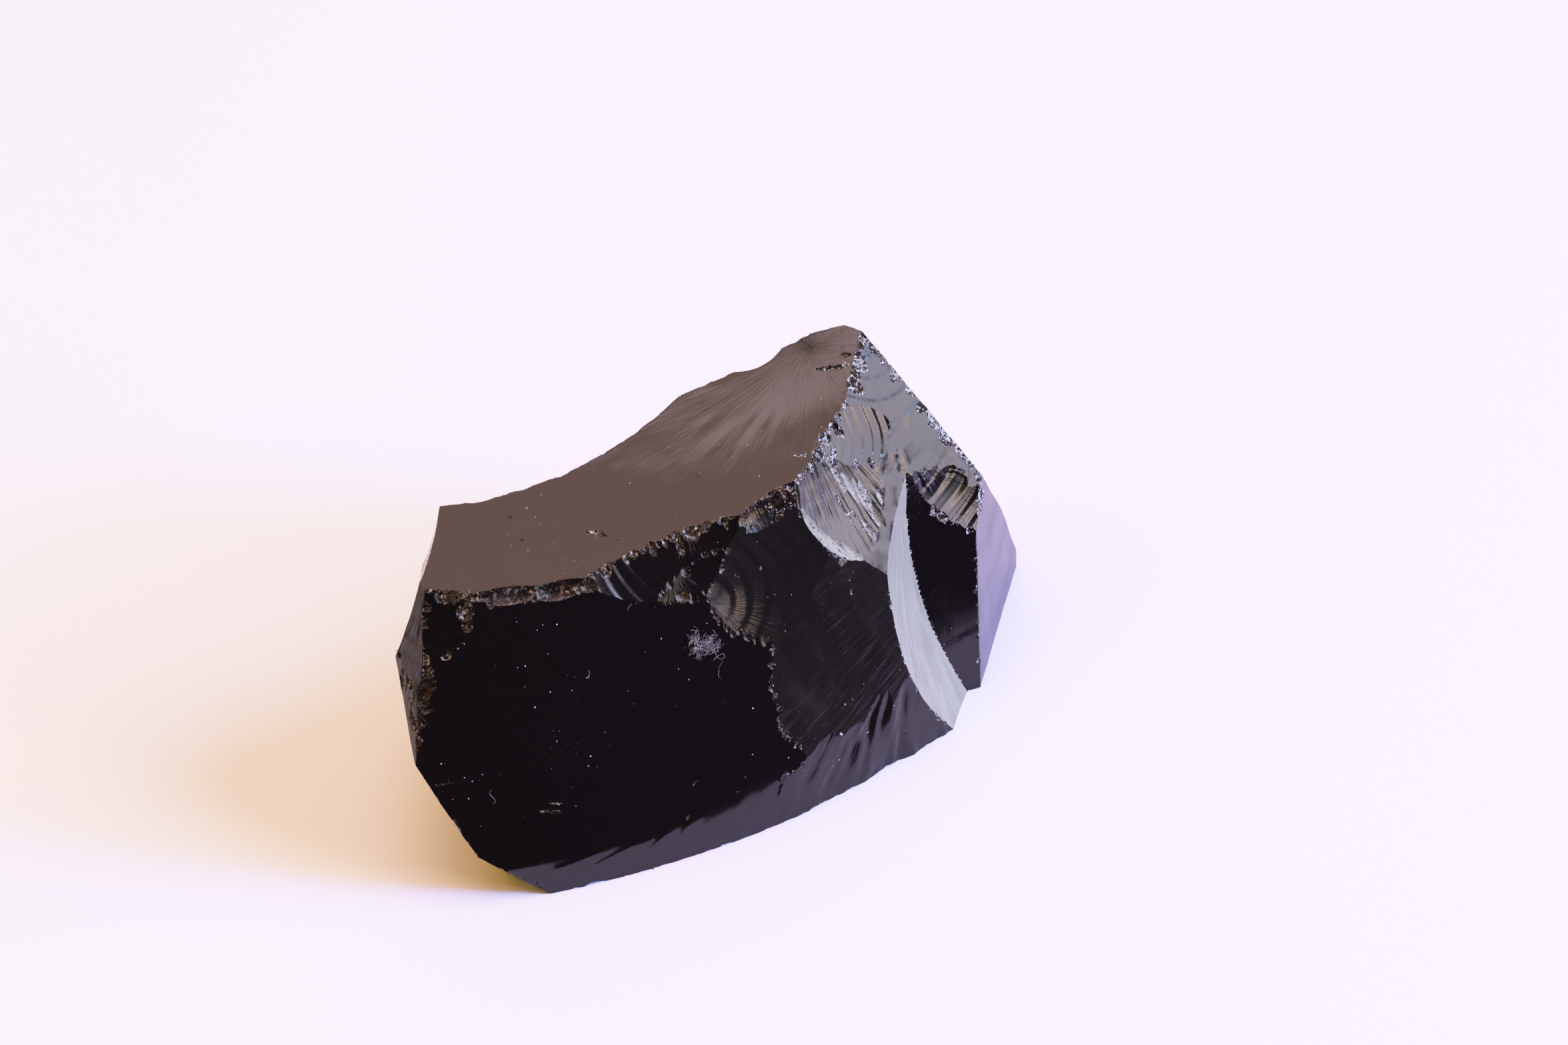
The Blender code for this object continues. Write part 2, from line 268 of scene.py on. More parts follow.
# The ridges are crushed: flakes came off all along them, mostly down the front side. Each row names the
# two faces of a ridge, and how many flakes there are in 10 mm of it, then their least and greatest width,
# length and depth, and how crumbly their beds are.
CRUSHED = (
    ("crown", "great_front", 3, (4.0, 7.0), (2.4, 3.4), (0.26, 0.38), 0.45),
    ("crown", "great_front", 44, (0.4, 1.2), (1.4, 3.6), (0.16, 0.46), 0.85),
    ("crown", "great_front", 34, (0.3, 0.8), (0.6, 2.0), (0.10, 0.30), 1.0),
    ("crown", "ridge_scar", 28, (0.3, 1.3), (0.7, 2.6), (0.08, 0.30), 0.9),
    ("crown", "ripple_scar", 5, (3.0, 6.0), (1.8, 2.8), (0.20, 0.34), 0.45),
    ("crown", "ripple_scar", 34, (0.3, 1.2), (0.8, 2.8), (0.08, 0.30), 0.9),
    ("crown", "comb_scar", 26, (0.3, 1.2), (0.8, 2.4), (0.08, 0.26), 1.0),
    ("crown", "bulb_scar", 28, (0.3, 1.7), (0.8, 3.4), (0.10, 0.38), 1.0),
    ("crown", "shoulder", 26, (0.4, 2.0), (1.0, 4.0), (0.12, 0.42), 1.0),
    ("crown", "corner_scar", 30, (0.5, 1.7), (1.4, 4.5), (0.10, 0.40), 0.9),
    ("crown", "left_end", 8, (0.4, 1.4), (0.4, 1.2), (0.05, 0.14), 0.4),
    ("crown", "back_hollow", 6, (0.4, 1.8), (0.5, 1.4), (0.04, 0.12), 0.3),
    ("crown", "back", 6, (0.4, 1.8), (0.5, 1.4), (0.04, 0.12), 0.3),
    ("great_front", "matte_front", 18, (0.2, 0.7), (0.3, 1.2), (0.03, 0.09), 0.4),
    ("great_front", "ridge_step", 12, (0.3, 1.2), (0.4, 1.6), (0.05, 0.14), 0.3),
    ("ridge_scar", "ridge_step", 12, (0.3, 1.2), (0.4, 1.6), (0.05, 0.14), 0.3),
    ("ridge_step", "ripple_scar", 12, (0.3, 1.0), (0.4, 1.4), (0.05, 0.12), 0.6),
    ("great_front", "ripple_scar", 12, (0.3, 1.2), (0.4, 1.6), (0.05, 0.14), 0.3),
    ("great_front", "right_apron", 12, (0.3, 0.8), (0.3, 1.0), (0.03, 0.09), 0.4),
    ("great_front", "corner_scar", 16, (0.5, 2.0), (1.0, 4.0), (0.10, 0.34), 0.9),
    ("left_strip", "great_front", 18, (0.8, 2.4), (2.0, 5.0), (0.14, 0.45), 0.6),
    ("left_strip", "great_front", 40, (0.3, 1.4), (0.8, 4.0), (0.08, 0.30), 0.9),
    ("left_strip", "corner_scar", 18, (0.3, 1.4), (0.8, 3.0), (0.08, 0.28), 0.8),
    ("left_heel", "great_front", 20, (0.4, 1.6), (0.8, 3.4), (0.08, 0.30), 0.8),
    ("left_strip", "left_heel", 18, (0.4, 2.0), (1.0, 3.6), (0.08, 0.30), 0.8),
    ("front_undercut", "great_front", 8, (0.3, 1.2), (0.4, 1.2), (0.04, 0.12), 0.4),
    ("front_undercut", "front_lip", 8, (0.3, 1.2), (0.4, 1.2), (0.04, 0.12), 0.4),
    ("tip_undercut", "front_lip", 8, (0.4, 1.6), (0.4, 1.6), (0.05, 0.18), 0.3),
    ("comb_scar", "matte_front", 16, (0.2, 0.8), (0.3, 1.0), (0.03, 0.10), 0.5),
    ("comb_scar", "ripple_scar", 16, (0.2, 0.8), (0.3, 1.0), (0.03, 0.10), 0.5),
    ("comb_scar", "bulb_scar", 14, (0.3, 1.2), (0.6, 2.4), (0.05, 0.18), 0.6),
    ("right_back_upper", "upper_right", 22, (0.6, 2.6), (1.2, 4.0), (0.12, 0.42), 1.0),
    ("right_back_upper", "shoulder", 14, (0.5, 1.8), (0.9, 2.6), (0.10, 0.30), 1.0),
    ("right_back_upper", "right_bowl", 20, (0.5, 2.2), (1.0, 3.4), (0.12, 0.42), 1.0),
    ("right_bowl", "right_end", 18, (0.4, 1.8), (0.8, 2.6), (0.10, 0.32), 1.0),
    ("right_bowl", "deep_floor", 18, (0.3, 1.6), (0.6, 2.4), (0.08, 0.28), 1.0),
    ("right_end", "deep_floor", 6, (0.3, 1.2), (0.5, 1.8), (0.04, 0.12), 0.4),
    ("right_end", "right_back_lower", 6, (0.5, 2.0), (0.5, 2.0), (0.06, 0.22), 0.4),
    ("deep_scar", "right_apron", 10, (0.2, 0.8), (0.3, 1.0), (0.03, 0.08), 0.5),
    ("deep_scar", "matte_front", 10, (0.2, 0.8), (0.3, 1.0), (0.03, 0.08), 0.5),
    ("deep_scar", "comb_scar", 12, (0.2, 0.9), (0.3, 1.0), (0.03, 0.10), 0.7),
    ("right_apron", "rest", 5, (0.3, 1.4), (0.3, 1.2), (0.04, 0.12), 0.3),
    ("front_lip", "rest", 5, (0.3, 1.4), (0.3, 1.2), (0.04, 0.12), 0.3),
)
# Single pits, slits and grooves: the face, a point on it, width, length, depth, the turn of its length,
# and how crumbly and how pale it is. The pale grooves on the comb scar are partly the frosting of crushed
# glass and partly painted highlight, the window's glare on its rim and middle band.
PITS = (
    ("crown", (-27.8, -6.3, 41.7), 0.5, 0.9, 0.16, 20, 1.0, 0.0),
    ("crown", (-17.4, -4.4, 41.1), 0.9, 2.9, 0.30, 4, 1.0, 0.0),
    ("crown", (-16.2, -4.9, 41.1), 0.5, 1.2, 0.14, -10, 1.0, 0.0),
    ("crown", (-29.7, -2.3, 42.2), 0.5, 0.8, 0.12, 60, 1.0, 0.0),
    ("crown", (-14.4, -5.6, 41.0), 0.3, 0.8, 0.10, 10, 1.0, 0.0),
    ("crown", (-23.5, -7.8, 41.1), 0.3, 0.5, 0.08, 0, 1.0, 0.0),
    ("crown", (-29.3, -7.6, 41.9), 0.3, 0.4, 0.08, 0, 1.0, 0.0),
    ("crown", (-8.2, 1.2, 41.6), 0.25, 0.5, 0.07, 30, 1.0, 0.0),
    ("crown", (-3.0, 6.0, 42.4), 0.25, 0.4, 0.07, 0, 1.0, 0.0),
    ("crown", (3.6, 9.4, 43.4), 0.25, 0.4, 0.07, 0, 1.0, 0.0),
    ("crown", (16.4, 23.0, 47.2), 0.7, 4.6, 0.35, 6, 1.0, 0.0),
    ("crown", (18.2, 24.9, 48.0), 0.6, 1.6, 0.30, 0, 1.0, 0.0),
    ("crown", (12.0, 8.6, 44.2), 0.5, 2.2, 0.22, -8, 1.0, 0.0),
    ("great_front", (-18.4, -21.1, 28.8), 0.4, 0.5, 0.06, 0, 0.6, 0.0),
    ("great_front", (-12.6, -14.4, 35.6), 0.3, 0.4, 0.06, 0, 0.6, 0.0),
    ("great_front", (-5.9, -21.5, 19.7), 0.3, 0.4, 0.06, 0, 0.6, 0.0),
    ("great_front", (-3.4, -25.1, 10.8), 0.3, 0.5, 0.06, 30, 0.6, 0.0),
    ("great_front", (-14.4, -30.5, 8.8), 0.3, 0.4, 0.06, 0, 0.6, 0.0),
    ("great_front", (-4.5, -27.7, 6.2), 0.4, 0.6, 0.06, 80, 0.6, 0.0),
    ("great_front", (-23.7, -31.9, 12.4), 0.5, 3.6, 0.05, -8, 0.6, 0.0),
    ("great_front", (-23.2, -31.2, 13.4), 0.3, 2.6, 0.04, -4, 0.6, 0.0),
    ("great_front", (-38.2, -32.3, 18.9), 0.3, 3.0, 0.05, 6, 0.6, 0.0),
    ("ripple_scar", (2.8, -6.7, 35.0), 0.6, 0.7, 0.12, 0, 0.6, 0.0),
    ("ripple_scar", (6.1, -5.0, 34.5), 0.6, 0.6, 0.12, 0, 0.6, 0.0),
    ("matte_front", (19.2, -2.4, 26.9), 0.5, 0.8, 0.12, 70, 0.6, 0.0),
    ("right_apron", (17.7, -14.1, 9.4), 0.6, 0.7, 0.12, 0, 0.6, 0.0),
    ("right_apron", (22.0, -11.9, 7.0), 0.5, 0.6, 0.12, 0, 0.6, 0.0),
    # Partly frosting, partly painted highlight: pale grooves along the comb scar's rim and band, where the window's
    # glare falls.
    ("comb_scar", (13.4, 0.9, 37.6), 1.5, 6.0, 0.18, -35, 0.2, 1.0),
    ("comb_scar", (15.2, 0.4, 35.6), 1.7, 7.0, 0.22, -31, 0.2, 1.0),
    ("comb_scar", (17.6, 0.3, 32.8), 1.9, 7.0, 0.24, -28, 0.2, 1.0),
    ("comb_scar", (19.8, 0.6, 30.9), 1.6, 6.0, 0.20, -25, 0.2, 1.0),
    ("comb_scar", (15.6, 8.8, 41.4), 0.7, 3.0, 0.10, -50, 0.35, 0.8),
    ("comb_scar", (17.2, 8.2, 39.6), 0.9, 3.8, 0.12, -54, 0.35, 1.0),
    ("comb_scar", (18.8, 8.2, 37.9), 1.0, 4.2, 0.12, -57, 0.35, 1.0),
    ("comb_scar", (20.2, 8.2, 36.4), 0.9, 4.0, 0.12, -56, 0.35, 1.0),
    ("comb_scar", (21.4, 7.8, 35.0), 1.1, 4.4, 0.13, -60, 0.35, 1.0),
    ("comb_scar", (22.8, 8.8, 34.4), 0.9, 3.4, 0.11, -62, 0.35, 1.0),
    ("comb_scar", (22.4, 6.4, 33.0), 0.9, 3.4, 0.12, -54, 0.35, 1.0),
    ("comb_scar", (21.4, 4.6, 32.0), 0.8, 3.2, 0.12, -48, 0.35, 1.0),
    ("comb_scar", (18.0, 5.6, 36.6), 0.4, 3.4, 0.05, -54, 0.5, 0.4),
    ("comb_scar", (19.8, 5.2, 34.4), 0.4, 3.0, 0.05, -50, 0.5, 0.4),
)
chance = np.random.default_rng(23)
# Where each ridge runs: on the edges of the ball whose two ends lie on different faces.
r, face, lead = broken(rays)
edges, _ = mesh_edges(tris)
crosses = face[edges[:, 0]] != face[edges[:, 1]]
by_wall = (face[edges] == WALL).any(1)
a, b = np.concatenate([edges[crosses & ~by_wall], edges[crosses & by_wall]]).T
gap_a = reach(rays[a], face[b]) - r[a]
gap_b = reach(rays[b], face[a]) - r[b]
share = np.clip(gap_a / np.where(gap_a + gap_b > 1e-6, gap_a + gap_b, 1), 0, 1)[:, None]
on_ridge = unit(rays[a] * (1 - share) + rays[b] * share)
ridges = HEART + on_ridge * np.maximum(reach(on_ridge, face[a]), reach(on_ridge, face[b]))[:, None]
ends = np.stack([face[a], face[b]], 1)
chips = []


def look_of(face, x):
    """The way that a face looks at these points on it."""
    return unit(outward[face] + bend[face][0] * (x - on_face[face]))


for first, second, number, widths, lengths, depths, crumbly in CRUSHED:
    one, two = row_of[first], row_of[second]
    ridge = ridges[(ends == (one, two)).all(1) | (ends == (two, one)).all(1)]
    if len(ridge) < 2:
        continue
    away = np.linalg.norm(ridge[:, None] - ridge[None], axis=2).max()
    for _ in range(max(1, round(number * away / 10))):
        spot = ridge[chance.integers(len(ridge))]
        one_look, two_look = look_of(one, spot), look_of(two, spot)
        along = unit(np.cross(one_look, two_look))
        down = np.cross(two_look, along)
        down *= -np.sign(dot(down, one_look))
        bulk = chance.uniform(0, 1) ** 1.5
        width, length, depth = (low + (high - low) * bulk for low, high in (widths, lengths, depths))
        length *= chance.uniform(0.6, 1.25) * np.interp(spot[0], (-42, -10), (0.5, 1.0))
        width *= chance.uniform(0.7, 1.3)
        look = unit(two_look + chance.uniform(0.05, 0.5) * one_look + chance.normal(0, 0.2, 3))
        spot = spot + along * chance.uniform(-0.7, 0.7) + down * length * chance.uniform(-0.1, 0.38)
        bed = crumbly * chance.uniform(0.4, 1)
        chips.append((spot - look * depth, look, along, width, length, depth, bed, 0.0))
for name, spot, width, length, depth, turn, crumbly, frost_and_sheen in PITS:
    f = row_of[name]
    d = unit(np.array(spot) - HEART)[None]
    spot = (HEART + d * reach(d, np.array([f]))[:, None])[0]
    look = look_of(f, spot)
    across = unit(np.array((1, 0, 0)) - look * look[0])
    t = math.radians(turn)
    along = -across * math.sin(t) + np.cross(look, across) * math.cos(t)
    chips.append((spot - look * depth, look, along, width, length, depth, crumbly, frost_and_sheen))
chip_look = np.array([chip[1] for chip in chips])
chip_along = np.array([chip[2] for chip in chips])
width, length, depth, loose, frost_and_sheen = np.array([chip[3:] for chip in chips]).T
on_face = np.concatenate([on_face, [chip[0] for chip in chips]])
outward = np.concatenate([outward, chip_look])
side = np.concatenate([side, unit(chip_along - chip_look * dot(chip_along, chip_look)[:, None])])
up_side = np.cross(outward, side)
bend = np.concatenate([bend, np.stack([-8 * depth / width**2, -8 * depth / length**2, 0 * depth], 1)])
cell = np.concatenate([cell, np.clip(width / 5, 0.14, 0.3)])


BLOCK = 4  # mm, the side of the boxes that points are sorted into, to find those near a flake
BED = 5.0  # mm from the middle of a flake, which its bed never passes


def crushed(d):
    """The stone with its flakes gone: reach, face or flake, and the lead over the next face."""
    r, face, lead = broken(d)
    x = HEART + d * r[:, None]
    blocks = {}
    place = np.floor(x / BLOCK).astype(int)
    for i, key in enumerate(map(tuple, place)):
        blocks.setdefault(key, []).append(i)
    blocks = {key: np.array(members) for key, members in blocks.items()}
    for chip in range(len(rows), len(bend)):
        low = np.floor((on_face[chip] - BED) / BLOCK).astype(int)
        high = np.floor((on_face[chip] + BED) / BLOCK).astype(int)
        spans = [range(a, b + 1) for a, b in zip(low, high)]
        found = [blocks[key] for key in product(*spans) if key in blocks]
        if not found:
            continue
        found = np.concatenate(found)
        inside = found[proud(x[found], np.full(len(found), chip)) > 0]
        if not len(inside):
            continue
        hit = reach(d[inside], np.full(len(inside), chip))
        deeper = hit < r[inside]
        r[inside[deeper]] = hit[deeper]
        face[inside[deeper]] = chip
    lead[face >= len(rows)] = 0
    return r, face, lead


# The ball's triangles are split where they are longer than the face under them allows. An edge that runs
# over a ridge is split on the ridge, so that the ridge stays crisp.
AIM, MOST = 188000, 198000  # triangles
for level in range(7):
    r, face, lead = crushed(rays)
    x = HEART + rays * r[:, None]
    edges, where = mesh_edges(tris)
    a, b = edges.T
    long = np.linalg.norm(x[a] - x[b], axis=1)
    want = np.minimum(cell[face[a]], cell[face[b]])
    by_ridge = np.minimum(lead[a], lead[b]) < 0.2
    want = np.where(by_ridge, np.minimum(want, 0.4), want)
    under = (x[a] + x[b])[:, 2] < 0.1  # the face that the stone rests on
    want[under] = np.maximum(want[under], 1.5)
    gap_a = reach(rays[a], face[b]) - r[a]
    gap_b = reach(rays[b], face[a]) - r[b]
    between = (face[a] != face[b]) & (gap_a > 0) & (gap_b > 0) & (gap_a + gap_b < 6)
    share = np.where(between, gap_a / np.maximum(gap_a + gap_b, 1e-9), 0.5)
    on_crease = between & (long > 0.24) & (share > 0.12) & (share < 0.88)
    share = np.where(on_crease, share, 0.5)
    need = np.where(on_crease, np.maximum(long / want, 1.5), long / want)
    room = (AIM - len(tris)) // 3
    if room < 500:
        break
    least = 1.4
    if (need > least).sum() > room:
        least = np.sort(need)[-room]
    cut = need > least
    # A triangle that is split at all is split on its longest edge as well, which keeps it from a sliver.
    for _ in range(2):
        longest = where[np.arange(len(tris)), long[where].argmax(1)]
        cut[longest[cut[where].any(1) & (long[longest] > 0.25)]] = True
    if not cut.any() or len(tris) + 2 * cut.sum() > MOST:
        break
    rays, tris = divide(rays, tris, cut, share)
r = crushed(rays)[0]
x = HEART + rays * r[:, None]
tri_face = crushed(unit(rays[tris].sum(1)))[1]

mesh = bpy.data.meshes.new("stone")
mesh.from_pydata((x * MM).tolist(), [], tris.tolist())
on_chip = tri_face >= len(rows)
chip_loose = np.where(on_chip, loose[np.maximum(tri_face - len(rows), 0)], 0)
mesh.polygons.foreach_set("use_smooth", chip_loose < 0.25)
# An edge is sharp where two faces meet, or where the surface turns hard.
edges, where = mesh_edges(tris)
twin = (np.argsort(where.ravel(), kind="stable") // 3).reshape(-1, 2)
flat = unit(np.cross(x[tris[:, 1]] - x[tris[:, 0]], x[tris[:, 2]] - x[tris[:, 0]]))
turned = dot(flat[twin[:, 0]], flat[twin[:, 1]])
sharp = (tri_face[twin[:, 0]] != tri_face[twin[:, 1]]) & (turned < math.cos(math.radians(9)))
sharp |= turned < math.cos(math.radians(38))
sharp_keys = set(map(tuple, edges[sharp].tolist()))
mesh.attributes.new("sharp_edge", "BOOLEAN", "EDGE")
ends = np.empty(len(mesh.edges) * 2, np.int32)
mesh.edges.foreach_get("vertices", ends)
ends = np.sort(ends.reshape(-1, 2), 1)
is_sharp = np.array([tuple(pair) in sharp_keys for pair in ends.tolist()])
mesh.attributes["sharp_edge"].data.foreach_set("value", is_sharp)
stone = bpy.data.objects.new("stone", mesh)
bpy.context.scene.collection.objects.link(stone)

# Where each blow fell also steers the fine lines of the surface: a map of distance and turn round it.
corner_face = np.repeat(tri_face, 3)
chipped = corner_face >= len(rows)
corners = x[tris.ravel()]
ring, turn = np.zeros(len(corners)), np.zeros(len(corners))
ring[~chipped], turn[~chipped] = round_blow(corners[~chipped], corner_face[~chipped])
local = in_face(corners[chipped] - on_face[corner_face[chipped]], corner_face[chipped])
ring[chipped] = local[:, 1] + 20
turn[chipped] = local[:, 0] / 10 + corner_face[chipped] * 0.7
blow_map = mesh.uv_layers.new(name="round the blow")
turn[~chipped] *= 0.8 / hackle_width[corner_face[~chipped]]
blow_map.uv.foreach_set("vector", np.stack([ring, turn * 10], 1).astype(np.float32).ravel())

# How each face finished: how dull, how pale and how strongly lined it is, from 0 to 1. Fresh glass is
# glossy, and a face that was torn rather than struck is dull. The paleness of whole faces is painted sheen:
# a pale colour that stands in for the bright reflections of the window and table, strongest on the deep
# scar. The last row is for all other faces.
FINISH = {
    "crown": (0.16, 0.0, 0.55),
    "great_front": (0.03, 0.0, 0.10),
    "front_lip": (0.10, 0.0, 0.25),
    "matte_front": (0.45, 0.0, 1.0),
    "right_apron": (0.22, 0.0, 1.0),
    "ripple_scar": (0.22, 0.012, 0.5),
    "comb_scar": (0.14, 0.10, 0.8),
    "bulb_scar": (0.16, 0.0, 0.3),
    "upper_right": (0.20, 0.0, 0.2),
    "shoulder": (0.25, 0.0, 0.3),
    "right_bowl": (0.16, 0.0, 0.3),
    "deep_scar": (0.25, 1.0, 0.4),
    "deep_floor": (0.10, 0.0, 0.4),
    "right_end": (0.42, 0.06, 0.3),
    "left_strip": (0.20, 0.06, 0.9),
    "left_heel": (0.20, 0.06, 0.9),
    "corner_scar": (0.15, 0.0, 0.5),
    "others": (0.15, 0.0, 0.4),
}
finish = np.array([FINISH.get(name, FINISH["others"]) for name in FRACTURES])
made = np.zeros((len(tris), 4), np.float32)
made[~on_chip, 1:] = finish[tri_face[~on_chip]]
made[:, 0] = chip_loose
made[on_chip, 1:] = (0.25, 0.0, 0.6)
made[on_chip, 2] = frost_and_sheen[tri_face[on_chip] - len(rows)]
made_map = mesh.attributes.new("finish", "FLOAT_COLOR", "CORNER")
made_map.data.foreach_set("color", np.repeat(made, 3, 0).ravel())


class Nodes:
    """The node tree of one material or of the world."""

    def __init__(self, tree):
        self.tree = tree
        tree.nodes.clear()

    def add(self, kind, settings=None, **inputs):
        node = self.tree.nodes.new(kind)
        for name, value in (settings or {}).items():
            setattr(node, name, value)
        for name, value in inputs.items():
            socket = node.inputs[int(name[1:])] if name[1:].isdigit() else node.inputs[name.replace("_", " ")]
            if isinstance(value, Socket):
                self.tree.links.new(value.socket, socket)
            elif isinstance(value, bpy.types.NodeSocket):
                self.tree.links.new(value, socket)
            else:
                socket.default_value = value
        return node

    def value(self, socket):
        return Socket(self, socket)

    def cloud(self, vector, scale, detail=2.0):
        """Smooth noise from 0 to 1."""
        noise = self.add("ShaderNodeTexNoise", None, Vector=vector, Scale=scale, Detail=detail)
        return self.value(noise.outputs["Fac"])

    def blend(self, share, first, second):
        """A colour between two others."""
        return self.add("ShaderNodeMix", {"data_type": "RGBA"}, _0=share, _6=first, _7=second).outputs[2]

    def surface(self, **inputs):
        """The shader of a material, with these of its sockets set or linked."""
        shader = self.add("ShaderNodeBsdfPrincipled", None, **inputs)
        out = self.add("ShaderNodeOutputMaterial")
        self.tree.links.new(shader.outputs[0], out.inputs[0])


class Socket:
    """A number in a node tree that takes part in Python sums."""

    def __init__(self, nodes, socket):
        self.nodes, self.socket = nodes, socket

    def math(self, operation, *others):
        inputs = {f"_{k}": value for k, value in enumerate((self, *others))}
        node = self.nodes.add("ShaderNodeMath", {"operation": operation}, **inputs)
        return Socket(self.nodes, node.outputs[0])

    def __add__(self, other):
        return self.math("ADD", other)

    def __radd__(self, other):
        return self.math("ADD", other)

    def __sub__(self, other):
        return self.math("SUBTRACT", other)

    def __rsub__(self, other):
        return (self * -1) + other

    def __mul__(self, other):
        return self.math("MULTIPLY", other)

    def __rmul__(self, other):
        return self.math("MULTIPLY", other)

    def ramp(self, low, high):
        """0 below low, 1 above high, and smooth between them."""
        settings = {"interpolation_type": "SMOOTHSTEP"}
        node = self.nodes.add("ShaderNodeMapRange", settings, Value=self, From_Min=low, From_Max=high)
        return Socket(self.nodes, node.outputs[0])


def material(name):
    """A new material and its nodes."""
    made = bpy.data.materials.new(name)
    made.use_nodes = True
    return made, Nodes(made.node_tree)


glass, n = material("black glass")
finish_of = n.add("ShaderNodeAttribute", {"attribute_name": "finish"}).outputs
parts = n.add("ShaderNodeSeparateColor", None, Color=finish_of["Color"])
crumb, dull, pale = (n.value(parts.outputs[k]) for k in range(3))
lined = n.value(finish_of["Alpha"])
place = n.add("ShaderNodeTexCoord").outputs["Object"]
blow_uv = n.add("ShaderNodeUVMap", {"uv_map": "round the blow"}).outputs["UV"]


def stretched(across, along):
    """The map round the blow, drawn out along the rays."""
    scale = (along, across, 0)
    return n.add("ShaderNodeVectorMath", {"operation": "MULTIPLY"}, _0=blow_uv, _1=scale).outputs[0]


# Crushed glass is a mass of tiny cracked grains, each with its own tint from brown to white. The brown
# is painted light, light shining through the glass at fine edges; the white of the cracked grains is their own.
grain = n.add("ShaderNodeTexVoronoi", None, Vector=place, Scale=2600.0)
grain_colour = n.add("ShaderNodeSeparateColor", None, Color=grain.outputs["Color"])
tint, broken_up = n.value(grain_colour.outputs[0]), n.value(grain_colour.outputs[1])
patch = n.cloud(place, 260.0)
black = (0.0042, 0.0030, 0.0025, 1)
grains = n.blend(tint.ramp(0.25, 0.62), (0.008, 0.004, 0.002, 1), (0.075, 0.042, 0.012, 1))
grains = n.blend(tint.ramp(0.74, 0.94), grains, (0.52, 0.50, 0.36, 1))
crushed_here = (crumb * 1.3).ramp(0.25, 1.1) * (broken_up * 0.6 + patch * 1.2 - 0.35).ramp(0.25, 0.55)
# Painted light: brown patches on the crumbly beds, for light shining through the glass at their fine edges.
lit_through_thin = crumb.ramp(0.02, 0.3) * n.cloud(place, 520.0, 1.0).ramp(0.52, 0.72)
colour = n.blend(lit_through_thin, black, (0.045, 0.020, 0.006, 1))
# Painted sheen, with real frosting in crushed pits: a pale colour in streaks along the rays wherever a face or pit
# is marked pale. On whole faces it stands in for the light they reflect.
frost_and_sheen_streaks = n.cloud(stretched(1.4, 0.10), 1.0, 4.0)
colour = n.blend(pale * (frost_and_sheen_streaks * 0.9 + 0.3), colour, (0.31, 0.30, 0.17, 1))
dusty = n.cloud(place, 900.0).ramp(0.68, 0.80) * dull.ramp(0.1, 0.9) * 0.12
colour = n.blend(dusty, colour, (0.20, 0.21, 0.25, 1))
colour = n.blend(crushed_here, colour, grains)
# Hackles run out from the blow, and the torn faces have a fine tooth as well.
lines = n.cloud(stretched(2.2, 0.10), 1.0, 3.0) * 0.65 + n.cloud(stretched(6.0, 0.25), 1.0) * 0.35
tooth = n.cloud(place, 5200.0)
height = lines * lined + tooth * (dull * 0.35 + crumb * 0.5)
bump = n.add("ShaderNodeBump", None, Height=height, Strength=1.0, Distance=0.08 * MM)
smear = n.cloud(place, 130.0, 3.0).ramp(0.45, 0.75) * 0.06
rough = 0.045 + dull * 0.34 + smear + crumb * 0.18 + crushed_here * 0.25 + pale * 0.10
n.surface(Base_Color=colour, Roughness=rough, IOR=1.49, Normal=bump.outputs[0])
mesh.materials.append(glass)
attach(stone, "root")
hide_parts("obsidian_chunk")

# ------------------------------------------------------------------------------------------- the dust
# Grains of dust and glass grit that lie on every side of the stone but its underside. Each is a tiny
# uneven lump, from a few hundredths to a few tenths of a millimetre across.
grit, n = material("pale dust")
tone = n.cloud(n.add("ShaderNodeTexCoord").outputs["Object"], 300.0)
colour = n.blend(tone.ramp(0.4, 0.6), (0.50, 0.44, 0.34, 1), (0.62, 0.63, 0.68, 1))
n.surface(Base_Color=colour, Roughness=0.8)


def geometry_tree(name, inputs):
    """A node group that changes one geometry, with these named inputs."""
    tree = bpy.data.node_groups.new(name, "GeometryNodeTree")
    tree.interface.new_socket("Geometry", in_out="INPUT", socket_type="NodeSocketGeometry")
    for title, kind in inputs.items():
        tree.interface.new_socket(title, in_out="INPUT", socket_type="NodeSocket" + kind)
    tree.interface.new_socket("Geometry", in_out="OUTPUT", socket_type="NodeSocketGeometry")
    return tree


def grown(source, tree, name, values):
    """The plain mesh object that a node group makes from a source object."""
    grow = source.modifiers.new(name, "NODES")
    grow.node_group = tree
    for item in tree.interface.items_tree:
        if item.in_out == "INPUT" and item.name in values:
            grow[item.identifier] = values[item.name]
    source.update_tag()
    ready = source.evaluated_get(bpy.context.evaluated_depsgraph_get())
    piece = bpy.data.objects.new(name, bpy.data.meshes.new_from_object(ready))
    piece.data.name = name
    source.modifiers.remove(grow)
    bpy.context.scene.collection.objects.link(piece)
    return piece


def bits_tree(name):
    """A node group that strews small bits over a surface, with its nodes and its named inputs."""
    sizes = {"Bits per square metre": "Float", "Smallest": "Float", "Largest": "Float", "Material": "Material"}
    tree = geometry_tree(name, sizes)
    n = Nodes(tree)
    return tree, n, n.add("NodeGroupInput").outputs


def hand_over(n, geometry, given):
    """The end of every node group: real faces of the given material."""
    whole = n.add("GeometryNodeRealizeInstances", None, Geometry=geometry)
    made = n.add("GeometryNodeSetMaterial", None, Geometry=whole.outputs[0], Material=given["Material"])
    n.add("NodeGroupOutput", None, Geometry=made.outputs[0])


